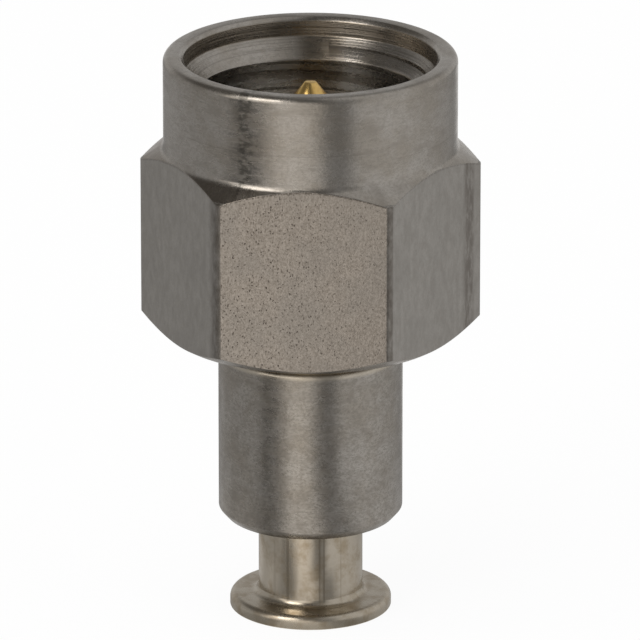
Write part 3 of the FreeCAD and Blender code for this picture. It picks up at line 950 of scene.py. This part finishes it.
# %% Skin of the drawn bar
def drawn_bar(tree, place, on_front, near_corner):
    """Colour and height of drawn hexagon bar: drawing lines, grain and small dark pits."""
    grain = spot_noise(tree, place, *BAR_GRAIN)
    mottle = spot_noise(tree, place, *BAR_MOTTLE)
    side = blend(tree, remap(tree, mottle, *SIDE_MOTTLE_SHOWS), BAR_GREY, BAR_GREY_DARK)
    side = blend(tree, remap(tree, grain, *SIDE_GRAIN_SHOWS), side, BAR_WARM_DARK)
    # front and back flat: painted warm reflection, with real grain and mottle
    front = blend(tree, remap(tree, grain, *FRONT_GRAIN_SHOWS), BAR_WARM_LIT, BAR_WARM_DARK)
    front = blend(tree, remap(tree, mottle, *FRONT_MOTTLE_SHOWS), front, BAR_WARM_DARK)
    lines = remap(tree, spot_noise(tree, place, *BAR_LINES), *RUBBED_LINES)
    wear_and_highlight = remap(tree, axes(tree, place)["X"], *RUBBED_SIDE)
    pit = bar_pits(tree, place, on_front)
    colour = blend(tree, on_front, side, front)
    for share, tint in (
        (remap(tree, spot_noise(tree, place, *BAR_CLOUD), *CLOUD_SHOWS), BAR_CLOUD_DARK),
        (product(tree, near_corner, wear_and_highlight, lines), RUBBED_DARK),
        # darkening beside the corners, painted dark reflection at the left
        (product(tree, corner_darkening(tree, place, on_front), mottle), BURR_AND_CORNER_DARK),
        (burr_line(tree, place, grain, on_front), BURR_AND_CORNER_DARK),
        (pit, PIT_DARK),
    ):
        colour = blend(tree, share, colour, tint)
    return colour, maths(tree, "SUBTRACT", blend_value(tree, on_front, mottle, grain), pit)


# %% [markdown]
# Stainless steel is one grey, and all the rest is surface: grooves that run round it, smudges
# drawn out by the tool, a few bright scratches, soft warm stains, specks of dirt and a grain.
# Each is a noise of its own, and each mixes a darker or lighter grey in. A layer says where its
# noise starts to show and is full, how strong it is on clean steel, what dirt adds to that,
# and its colour.

# %% Patterns and greys of turned steel
STEEL = (0.455, 0.432, 0.402, 1)
SMUDGE_DARK = (0.25, 0.225, 0.195, 1)
GROOVE_DARK = (0.20, 0.185, 0.165, 1)
STEEL_LINES = {
    "grooves": (16.0, 0.35, 3.0, 0.6),
    "smudges": (5.0, 5.5, 3.0, 0.6),
    "scratches": (26.0, 2.6, 1.0, 0.5),
    "facets": (9.0, 9.0, 1.0, 0.5),
}
STEEL_SPOTS = {
    "stains": (0.8, 5.0, 0.65),
    "clouds": (2.4, 6.0, 0.75),
    "grain": (11.0, 3.0, 0.65, (1, 1, 1.6)),
    "specks": (12.0, 3.0, 0.7, (1, 1, 1.5)),
}
STEEL_LAYERS = {
    "stains": (0.38, 0.66, 1.0, 0.0, (0.375, 0.345, 0.305, 1)),
    "smudges": (0.45, 0.75, 0.38, 0.0, SMUDGE_DARK),
    "grooves": (0.58, 0.80, 0.40, 0.0, GROOVE_DARK),
    "scratches": (0.66, 0.76, 0.16, 0.0, (0.52, 0.50, 0.47, 1)),
    "specks": (0.60, 0.74, 0.0, 1.0, (0.12, 0.10, 0.08, 1)),
    "grain": (0.43, 0.63, 0.28, 0.42, (0.27, 0.255, 0.225, 1)),
    "clouds": (0.44, 0.68, 0.0, 0.6, SMUDGE_DARK),
}
print("layers of the steel:", ", ".join(STEEL_LAYERS))

# %% [markdown]
# One function makes both steels: the nut is more polished, the body duller and dirtier. The
# same noises feed a bump a few thousandths of a millimetre high, which makes the gloss alive.
# What only one piece has comes from a function of its own, which is handed in and adds its
# marks last.

# %% Turned steel
STEEL_HEIGHTS = {"grooves": 0.5, "grain": 0.9, "facets": 0.8}
STEEL_BRUSHED = 0.6
STEEL_BUMP = 0.6
STEEL_BUMP_DEPTH = 6e-6
SMUDGE_RANGE = (0.3, 0.7)
ROUGHNESS_RANGE = 0.09
REFLECTION_COLUMN_DARK = (0.12, 0.115, 0.10, 1)


def steel(name, satin, dirt, reflection_column, own_marks):
    """Turned stainless steel, with a column of painted dark reflection and the marks that only this piece
    has.
    """
    finish, tree, shader = new_finish(name)
    place = millimetres(tree)
    patterns = {mark: lathe_noise(tree, place, *sizes) for mark, sizes in STEEL_LINES.items()}
    patterns.update((mark, spot_noise(tree, place, *sizes)) for mark, sizes in STEEL_SPOTS.items())
    colour = STEEL
    for mark, (start, full, clean, dirty, tint) in STEEL_LAYERS.items():
        share = remap(tree, patterns[mark], start, full, 0.0, clean + dirty * dirt)
        colour = blend(tree, share, colour, tint)
    # painted dark reflection: the column of dark dashes is mixed into the colour
    colour = blend(tree, dark_reflection_column(tree, place, *reflection_column), colour, REFLECTION_COLUMN_DARK)
    rough = remap(tree, patterns["smudges"], *SMUDGE_RANGE, satin, satin + ROUGHNESS_RANGE)
    height = 0.0
    for mark, share in STEEL_HEIGHTS.items():
        height = maths(tree, "ADD", height, product(tree, patterns[mark], share))
    colour, rough, height = own_marks(tree, place, colour, rough, height)
    dress(tree, shader, colour, rough, height, STEEL_BUMP, STEEL_BUMP_DEPTH)
    radial_gloss(tree, shader, STEEL_BRUSHED)
    return finish


# %% [markdown]
# The nut adds its painted shade and dark reflections, the coarse lines of its mouth and the skin
# of its flats. The body has only one mark of its own: a painted highlight along its upper edge.

# %% Marks of the nut and of the body
# Painted highlight: a light band along the body's upper edge.
STEEL_PAINTED_HIGHLIGHT = (0.66, 0.60, 0.50, 1)
# Browns of the painted shade in the mouth and the painted dark reflection on the cone.
MOUTH_SHADE_BROWN = (0.20, 0.165, 0.12, 1)
CONE_REFLECTION_BROWN = (0.15, 0.12, 0.09, 1)
MOUTH_LINES_SHOW = (0.5, 0.66, 0.0, 0.45)
MOUTH_LINES_HEIGHT = 3.0
FLAT_ROUGHNESS = 0.42
EDGE_HIGHLIGHT_START = 0.24
EDGE_HIGHLIGHT_FULL = 0.12
EDGE_HIGHLIGHT_SHARE = 0.7


def nut_marks(tree, place, colour, rough, height):
    """The nut's painted shade and dark reflections, the coarse lines of its mouth, and the skin of its
    flats.
    """
    # painted shade and dark reflection, mixed into the colour of mouth and cone
    colour = blend(tree, mouth_shade_and_reflection(tree, place), colour, MOUTH_SHADE_BROWN)
    colour = blend(tree, cone_dark_reflection(tree, place), colour, CONE_REFLECTION_BROWN)
    lines = mouth_grooves(tree, place)
    colour = blend(tree, remap(tree, lines, *MOUTH_LINES_SHOW), colour, GROOVE_DARK)
    height = maths(tree, "ADD", height, product(tree, lines, MOUTH_LINES_HEIGHT))
    on_flat, on_front, near_corner = flat_faces(tree, place)
    flat_colour, flat_height = drawn_bar(tree, place, on_front, near_corner)
    colour = blend(tree, on_flat, colour, flat_colour)
    rough = blend_value(tree, on_flat, rough, FLAT_ROUGHNESS)
    return colour, rough, blend_value(tree, on_flat, height, flat_height)


def body_marks(tree, place, colour, rough, height):
    """A painted highlight along the body's upper edge, under the nut."""
    # painted highlight on the body's rounded upper edge
    wear_and_highlight = remap(tree, axes(tree, place)["Z"], NECK_Z - EDGE_HIGHLIGHT_START, NECK_Z - EDGE_HIGHLIGHT_FULL,
                 0.0, EDGE_HIGHLIGHT_SHARE)
    return blend(tree, wear_and_highlight, colour, STEEL_PAINTED_HIGHLIGHT), rough, height


# %% [markdown]
# Nut and body are two turnings of the same steel, so each has its own polish, its own share of
# dirt and its own column of painted dark reflection, given by its azimuth in degrees and its depth.

# %% Steel on nut and body
for piece, look in (
    (nut, dict(name="steel_nut", satin=0.22, dirt=0.25, reflection_column=(-23.5, 0.62), own_marks=nut_marks)),
    (body, dict(name="steel_body", satin=0.24, dirt=0.8, reflection_column=(-25.5, 0.2), own_marks=body_marks)),
):
    piece.data.materials.append(steel(**look))
    print(f"{look['name']}: {len(piece.data.materials[0].node_tree.nodes)} nodes")

# %% [markdown]
# Plating and bronze are softer metals with a thinner story: faint lathe marks, faint lines
# drawn along the tube, and soft brown stains; a piece can also have dark lines of painted
# reflection down its wall. The ferrule's flange is a little duller than its tube, because it is
# what rubs on a table.

# %% Plated and bronze finishes
METAL_GROOVES = (14.0, 0.35, 3.0, 0.6)
METAL_STAINS = (2.2, 4.0, 0.65)
METAL_STAINS_SHOW = (0.4, 0.72)
METAL_DULL_STAINS = (0.3, 0.7)
METAL_DULLER = 1.5
DRAWN_LINES = (0.25, 11.0, 2.0, 0.5)
DRAWN_LINES_SHOW = (0.60, 0.72, 0.0, 0.2)
DEEPER = 0.6
FLANGE_DULLER = 0.08
FINE_BUMP_DEPTH = 3e-6


def plain_metal(name, light, dark, rough, brushed, groove, lines=()):
    """Plated or bronze metal with faint lathe marks, a little staining, drawn lines, and given lines of
    painted dark reflection down the wall.
    """
    finish, tree, shader = new_finish(name)
    place = millimetres(tree)
    flange_top = FLANGE_Z + FLANGE_THICKNESS
    on_tube = remap(tree, axes(tree, place)["Z"], flange_top, flange_top + FLANGE_FILLET)
    stains = spot_noise(tree, place, *METAL_STAINS)
    colour = blend(tree, remap(tree, stains, *METAL_STAINS_SHOW), light, dark)
    drawn_and_reflection_lines = [remap(tree, lathe_noise(tree, place, *DRAWN_LINES), *DRAWN_LINES_SHOW)]
    # painted dark reflection lines at given azimuths, on the tube only
    for azimuth, half_width, depth in lines:
        drawn_and_reflection_lines.append(product(tree, down_the_wall(tree, place, azimuth, half_width), depth))
    deep = (*(part * DEEPER for part in dark[:3]), 1)
    for line in drawn_and_reflection_lines:
        colour = blend(tree, product(tree, line, on_tube), colour, deep)
    polish = remap(tree, stains, *METAL_DULL_STAINS, rough, rough * METAL_DULLER)
    polish = maths(tree, "ADD", polish, blend_value(tree, on_tube, FLANGE_DULLER, 0.0))
    dress(tree, shader, colour, polish, lathe_noise(tree, place, *METAL_GROOVES), groove, FINE_BUMP_DEPTH)
    radial_gloss(tree, shader, brushed)
    return finish


# %% [markdown]
# The ferrule and the stem are nickel plated, the ring is bronze and the contact gold plated.
# Four faint dark lines of painted reflection run down the ferrule's tube, at the edges of the
# bright strip it mirrors. Each is given by its azimuth and half width in degrees, and by its depth.

# %% Metal on ferrule, stem, ring and contact
# Painted dark reflection: lines at the edges of the ferrule's mirrored bright strip.
FERRULE_REFLECTION_LINES = [(-23.5, 2.0, 0.5), (12.5, 1.3, 0.5), (17.5, 1.3, 0.5), (38.0, 1.2, 0.25)]

for piece, look in (
    (ferrule, dict(name="nickel_ferrule", light=(0.54, 0.49, 0.41, 1), dark=(0.40, 0.335, 0.245, 1),
                   rough=0.16, brushed=0.4, groove=0.3, lines=FERRULE_REFLECTION_LINES)),
    (stem, dict(name="nickel_stem", light=(0.55, 0.50, 0.42, 1), dark=(0.45, 0.40, 0.33, 1),
                rough=0.2, brushed=0.2, groove=0.3)),
    (ring, dict(name="bronze_ring", light=(0.62, 0.42, 0.22, 1), dark=(0.48, 0.31, 0.15, 1),
                rough=0.3, brushed=0.2, groove=0.2)),
    (contact, dict(name="gold_contact", light=(0.86, 0.60, 0.22, 1), dark=(0.70, 0.46, 0.15, 1),
                   rough=0.18, brushed=0.3, groove=0.25)),
):
    piece.data.materials.append(plain_metal(**look))
    print(f"{look['name']} on {piece.name}")

# %% [markdown]
# The beads are white and slightly waxy and the gasket is dull rubber, each with a fine grain in
# colour and surface.

# %% Beads and rubber
PLASTIC_GRAIN_DETAIL = 3.0
PLASTIC_GRAIN_ROUGHNESS = 0.6
PLASTIC_BUMP = 0.3
BEAD = dict(light=(0.80, 0.79, 0.76, 1), dark=(0.72, 0.71, 0.68, 1), rough=0.45, grain_scale=6.0)
RUBBER = dict(light=(0.30, 0.075, 0.035, 1), dark=(0.24, 0.055, 0.025, 1), rough=0.6, grain_scale=10.0)


def soft_plastic(name, light, dark, rough, grain_scale):
    """Bead or rubber: a fine grain in colour and surface."""
    finish, tree, shader = new_finish(name)
    place = millimetres(tree)
    grain = spot_noise(tree, place, grain_scale, PLASTIC_GRAIN_DETAIL, PLASTIC_GRAIN_ROUGHNESS)
    dress(tree, shader, blend(tree, grain, light, dark), rough, grain, PLASTIC_BUMP, FINE_BUMP_DEPTH)
    return finish


for piece, name, look in (
    (front_bead, "bead_front", BEAD), (rear_bead, "bead_rear", BEAD), (gasket, "rubber_gasket", RUBBER),
):
    piece.data.materials.append(soft_plastic(name, **look))
    print(f"{name} on {piece.name}")

# %% [markdown]
# The floor is white to the eye, and keeps the part's faint shadow. White comes from the floor's
# own colour and a glow that camera, gloss and glass rays see, never from stronger lamps, so
# the part keeps its plain light. The part stands on the ferrule's flange, so the floor and all
# that lies on it go along with the ferrule: when it slides off the stem, it stays on the floor
# and doesn't sink into it.

# %% Floor
FLOOR_HALF = 0.6
FLOOR_SINK = 0.00001
FLOOR_PALE = (0.9, 0.9, 0.9, 1)
FLOOR_ROUGHNESS = 0.8
FLOOR_GLOW = 0.93
WHITE = (1, 1, 1, 1)


def set_stage(item):
    """Lets a piece of the stage go along with the ferrule that stands on it."""
    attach(item, "ferrule")


def stage_plate(name, half, height):
    """Square plate on the floor, made for the stage only."""
    plate = bmesh.new()
    bmesh.ops.create_grid(plate, x_segments=1, y_segments=1, size=half)
    bmesh.ops.translate(plate, verts=plate.verts[:], vec=(0, 0, height))
    item = into_scene(name, plate)
    set_stage(item)
    return item


def seen_directly(tree):
    """1 for rays of camera, gloss and glass, and 0 for rays that only carry light."""
    path = put(tree, "ShaderNodeLightPath").outputs
    seen = maths(tree, "ADD", path["Is Camera Ray"], path["Is Glossy Ray"], clamp=True)
    return maths(tree, "ADD", seen, path["Is Transmission Ray"], clamp=True)


floor = stage_plate("floor", FLOOR_HALF, -FLOOR_SINK)
floor_paint, tree, shader = new_finish("floor_white")
wire(tree, shader, {"Base Color": FLOOR_PALE, "Roughness": FLOOR_ROUGHNESS})
glow = put(tree, "ShaderNodeEmission", {"Color": WHITE, "Strength": 1.0}).outputs[0]
share = product(tree, seen_directly(tree), FLOOR_GLOW)
mixed = put(tree, "ShaderNodeMixShader", {0: share, 1: shader.outputs[0], 2: glow}).outputs[0]
wire(tree, tree.nodes["Material Output"], {"Surface": mixed})
floor.data.materials.append(floor_paint)
print(f"floor: {2 * FLOOR_HALF} m wide")

# %% [markdown]
# Metal shows what stands around it, so a photographer lays grey cards and hangs cloth around
# the part. Both are painted here with greys that change with the direction from the part, as
# stops on a ramp: azimuth in degrees, grey, and a plain or a warm tint. Only gloss sees them.

# %% Paint for card and tent
WARM = (1.0, 0.95, 0.89)
PLAIN = (1.0, 0.98, 0.96)
HALF_TURN = 180


def tinted(grey, tint):
    """Colour of this grey in one of the tints."""
    return (*(grey * part for part in tint), 1)


def azimuth_greys(tree, place, stops):
    """Colour that changes with the direction from the part, seen from above."""
    sides = axes(tree, place)
    turn = maths(tree, "ARCTAN2", sides["X"], product(tree, sides["Y"], -1.0))
    share = put(tree, "ShaderNodeMapRange", {"Value": turn, "From Min": -math.pi, "From Max": math.pi})
    greys = put(tree, "ShaderNodeValToRGB", {0: share.outputs[0]})
    ramp = greys.color_ramp
    ramp.interpolation = "EASE"
    while len(ramp.elements) < len(stops):
        ramp.elements.new(0.5)
    for stop, (azimuth, grey, tint) in zip(ramp.elements, stops):
        stop.position = (azimuth + HALF_TURN) / (2 * HALF_TURN)
        stop.color = tinted(grey, tint)
    return greys.outputs[0]


def glowing(item, name, paint):
    """Gives a stage piece its greys, and shows it to gloss only."""
    finish, tree, shader = new_finish(name)
    tree.nodes.remove(shader)
    place = put(tree, "ShaderNodeTexCoord").outputs["Object"]
    glow = put(tree, "ShaderNodeEmission", {"Color": paint(tree, place), "Strength": 1.0}).outputs[0]
    wire(tree, tree.nodes["Material Output"], {"Surface": glow})
    item.data.materials.append(finish)
    item.visible_camera = False
    item.visible_shadow = False
    item.visible_diffuse = False


# %% [markdown]
# From this height the upright walls mirror the table, so one card lies on the floor. A bright
# stretch toward the front left, with dark ones on both sides, gives the walls their bright
# strip. Ferrule, body and nut each mirror another distance, so each has its own stops.

# %% Greys that ferrule, body and nut mirror
FERRULE_CARD_STOPS = [
    (-180, 0.72, PLAIN), (-150, 0.45, PLAIN), (-125, 0.56, PLAIN), (-98, 0.45, PLAIN),
    (-84, 0.50, PLAIN), (-66, 0.42, PLAIN), (-55, 0.32, PLAIN), (-44, 0.26, PLAIN),
    (-34, 0.24, PLAIN), (-27, 0.40, WARM), (-20, 0.74, WARM), (-4, 0.78, WARM),
    (8, 0.76, WARM), (15, 0.54, WARM), (22, 0.33, PLAIN), (32, 0.25, PLAIN),
    (42, 0.27, PLAIN), (51, 0.45, PLAIN), (61, 0.59, PLAIN), (85, 0.60, PLAIN),
    (125, 0.50, PLAIN), (150, 0.42, PLAIN), (180, 0.72, PLAIN),
]
BODY_CARD_STOPS = [
    (-180, 0.80, PLAIN), (-166, 0.80, PLAIN), (-155, 0.32, PLAIN), (-135, 0.41, PLAIN),
    (-78, 0.39, PLAIN), (-66, 0.36, PLAIN), (-54, 0.21, PLAIN), (-40, 0.21, PLAIN),
    (-29, 0.50, WARM), (-20, 0.87, WARM), (-9, 0.93, WARM), (0, 0.74, WARM),
    (11, 0.25, PLAIN), (26, 0.23, PLAIN), (41, 0.62, PLAIN), (70, 0.64, PLAIN),
    (105, 0.54, PLAIN), (125, 0.455, PLAIN), (150, 0.32, PLAIN), (166, 0.72, PLAIN),
    (180, 0.80, PLAIN),
]
NUT_CARD_STOPS = [
    (-180, 0.85, PLAIN), (-166, 0.85, PLAIN), (-155, 0.30, PLAIN), (-135, 0.40, PLAIN),
    (-78, 0.385, PLAIN), (-66, 0.35, PLAIN), (-54, 0.10, PLAIN), (-40, 0.07, PLAIN),
    (-29, 0.50, WARM), (-20, 0.80, WARM), (-4, 0.84, WARM), (6, 0.72, WARM),
    (17, 0.27, PLAIN), (28, 0.27, PLAIN), (41, 0.66, PLAIN), (70, 0.66, PLAIN),
    (105, 0.55, PLAIN), (125, 0.455, PLAIN), (150, 0.30, PLAIN), (166, 0.75, PLAIN),
    (180, 0.85, PLAIN),
]
print("stops on the card:", len(FERRULE_CARD_STOPS), len(BODY_CARD_STOPS), len(NUT_CARD_STOPS))

# %% [markdown]
# The ferrule's greys lie in the middle of the card, the body's in a ring round them and the
# nut's outside, each blending into the next. Close to the flange the card is in shade.

# %% Grey card on the floor
CARD_HALF = 0.30
CARD_LIFT = 0.00002
BODY_RING = (0.0075, 0.0105)
NUT_RING = (0.021, 0.026)
CONTACT_SHADE = (0.0040, 0.0018, 0.0, 0.6)
CONTACT_GREY = (0.30, 0.29, 0.27, 1)


def card_greys(tree, place):
    """Greys of the card, in three rings: ferrule, body and nut each mirror their own ring."""
    distance = vectors(tree, "LENGTH", place)
    colour = azimuth_greys(tree, place, FERRULE_CARD_STOPS)
    for ring_start, stops in ((BODY_RING, BODY_CARD_STOPS), (NUT_RING, NUT_CARD_STOPS)):
        colour = blend(tree, remap(tree, distance, *ring_start), colour, azimuth_greys(tree, place, stops))
    return blend(tree, remap(tree, distance, *CONTACT_SHADE), colour, CONTACT_GREY)


card = stage_plate("grey_card", CARD_HALF, CARD_LIFT)
glowing(card, "card_greys", card_greys)
print(f"card: {2 * CARD_HALF} m wide, in three rings")

# %% [markdown]
# Faces that look up, such as the chamfers, the rim and the mouth, mirror the sky. A half sphere
# stands in for the tent of cloth that shines on small parts: a ring of greys low down, another
# overhead, and one bright window at the front left, which makes the thin white lines on every
# rounding and the streak on the pin's cone.

# %% Grey tent over the part
TENT_RADIUS = 0.32
TENT_SEGMENTS = 64
TENT_LOW_STOPS = [
    (-180, 0.50, PLAIN), (-150, 0.54, PLAIN), (-120, 0.42, PLAIN), (-90, 0.36, PLAIN),
    (-72, 0.40, PLAIN), (-60, 1.05, WARM), (-20, 1.20, WARM), (-2, 0.90, WARM),
    (12, 0.24, PLAIN), (32, 0.24, PLAIN), (46, 0.60, PLAIN), (100, 0.62, PLAIN),
    (150, 0.55, PLAIN), (180, 0.50, PLAIN),
]
TENT_HIGH_STOPS = [
    (-180, 0.30, PLAIN), (-140, 0.13, WARM), (-60, 0.13, WARM), (-35, 0.14, PLAIN),
    (0, 0.09, PLAIN), (30, 0.30, PLAIN), (60, 0.60, PLAIN), (120, 0.60, PLAIN),
    (150, 0.35, PLAIN), (180, 0.30, PLAIN),
]
HIGH_FROM = math.sin(math.radians(18))
HIGH_FULL = math.sin(math.radians(42))
WINDOW = direction(azimuth=-40, elevation=40)
WINDOW_GLOW = 3.4
WINDOW_EDGE = math.cos(math.radians(18))
WINDOW_MIDDLE = math.cos(math.radians(12))


def tent_greys(tree, place):
    """Greys of the tent: one ring of panels low down, another overhead, and the window."""
    toward = vectors(tree, "NORMALIZE", place)
    low = azimuth_greys(tree, place, TENT_LOW_STOPS)
    high = azimuth_greys(tree, place, TENT_HIGH_STOPS)
    greys = blend(tree, remap(tree, axes(tree, toward)["Z"], HIGH_FROM, HIGH_FULL), low, high)
    opening = remap(tree, vectors(tree, "DOT_PRODUCT", toward, WINDOW), WINDOW_EDGE, WINDOW_MIDDLE)
    return blend(tree, opening, greys, tinted(WINDOW_GLOW, WARM))


tent_shape = bmesh.new()
bmesh.ops.create_uvsphere(tent_shape, u_segments=TENT_SEGMENTS, v_segments=TENT_SEGMENTS // 2,
                          radius=TENT_RADIUS)
bmesh.ops.bisect_plane(tent_shape, geom=everything(tent_shape), plane_co=(0, 0, 0),
                       plane_no=(0, 0, -1), clear_outer=True)
tent = into_scene("grey_tent", tent_shape)
set_stage(tent)
glowing(tent, "tent_greys", tent_greys)
print(f"tent: {len(tent.data.polygons)} faces")

# %% [markdown]
# The lamps light what isn't metal, and give the soft shadow. They stay out of the gloss,
# because card and tent already say what the metal sees.

# %% Lamps
LAMPS = {
    "key": ((-0.145, -0.210, 0.13), (0.15, 0.06), 0.14),
    "top": ((-0.10, -0.08, 0.28), (0.25, 0.25), 0.35),
    "fill": ((0.24, -0.10, 0.16), (0.20, 0.20), 0.12),
}

for name, (place, size, power) in LAMPS.items():
    lamp = bpy.data.lights.new(name, "AREA")
    lamp.shape = "RECTANGLE"
    lamp.size, lamp.size_y = size
    lamp.energy = power
    item = bpy.data.objects.new(name, lamp)
    item.location = place
    item.rotation_euler = (-Vector(place)).to_track_quat("-Z", "Y").to_euler()
    item.visible_glossy = False
    bpy.context.scene.collection.objects.link(item)
print("lamps:", ", ".join(LAMPS))

# %% [markdown]
# The world is white where the eye or a mirror meets it, and dimmer as a light.

# %% World
WORLD_LIGHT = 0.6

world = bpy.data.worlds.new("studio")
world.use_nodes = True
bpy.context.scene.world = world
tree = world.node_tree
level = blend_value(tree, seen_directly(tree), WORLD_LIGHT, 1.0)
wire(tree, tree.nodes["Background"], {"Color": WHITE, "Strength": level})
print("world:", world.name)

# %% [markdown]
# The photograph was taken from far off with a long lens, a little to the right of the front and
# about 19 degrees up. The camera looks at a point on the axis, and is moved sideways with its
# target to place the part in the picture without turning the view.

# %% Camera
TARGET = Vector((0, 0, 8.0 * MM))
CAMERA_AZIMUTH = 2.5
CAMERA_ELEVATION = 19.0
CAMERA_DISTANCE = 248 * MM
CAMERA_LENS = 519.6
SENSOR_WIDTH = 36
NEAREST = 0.01
FARTHEST = 10
AIM_RIGHT = 0.255 * MM
AIM_UP = 0.078 * MM

back = Vector(direction(CAMERA_AZIMUTH, CAMERA_ELEVATION))
view_turn = back.to_track_quat("Z", "Y")
right = view_turn @ Vector((1, 0, 0))
up = view_turn @ Vector((0, 1, 0))
lens = bpy.data.cameras.new("camera")
lens.lens = CAMERA_LENS
lens.sensor_width = SENSOR_WIDTH
lens.clip_start = NEAREST
lens.clip_end = FARTHEST
camera = bpy.data.objects.new("camera", lens)
camera.location = TARGET + back * CAMERA_DISTANCE + right * AIM_RIGHT + up * AIM_UP
camera.rotation_euler = view_turn.to_euler()
bpy.context.scene.collection.objects.link(camera)
bpy.context.scene.camera = camera
bpy.context.scene.view_settings.view_transform = "Standard"
print("camera at", [round(value, 4) for value in camera.location])
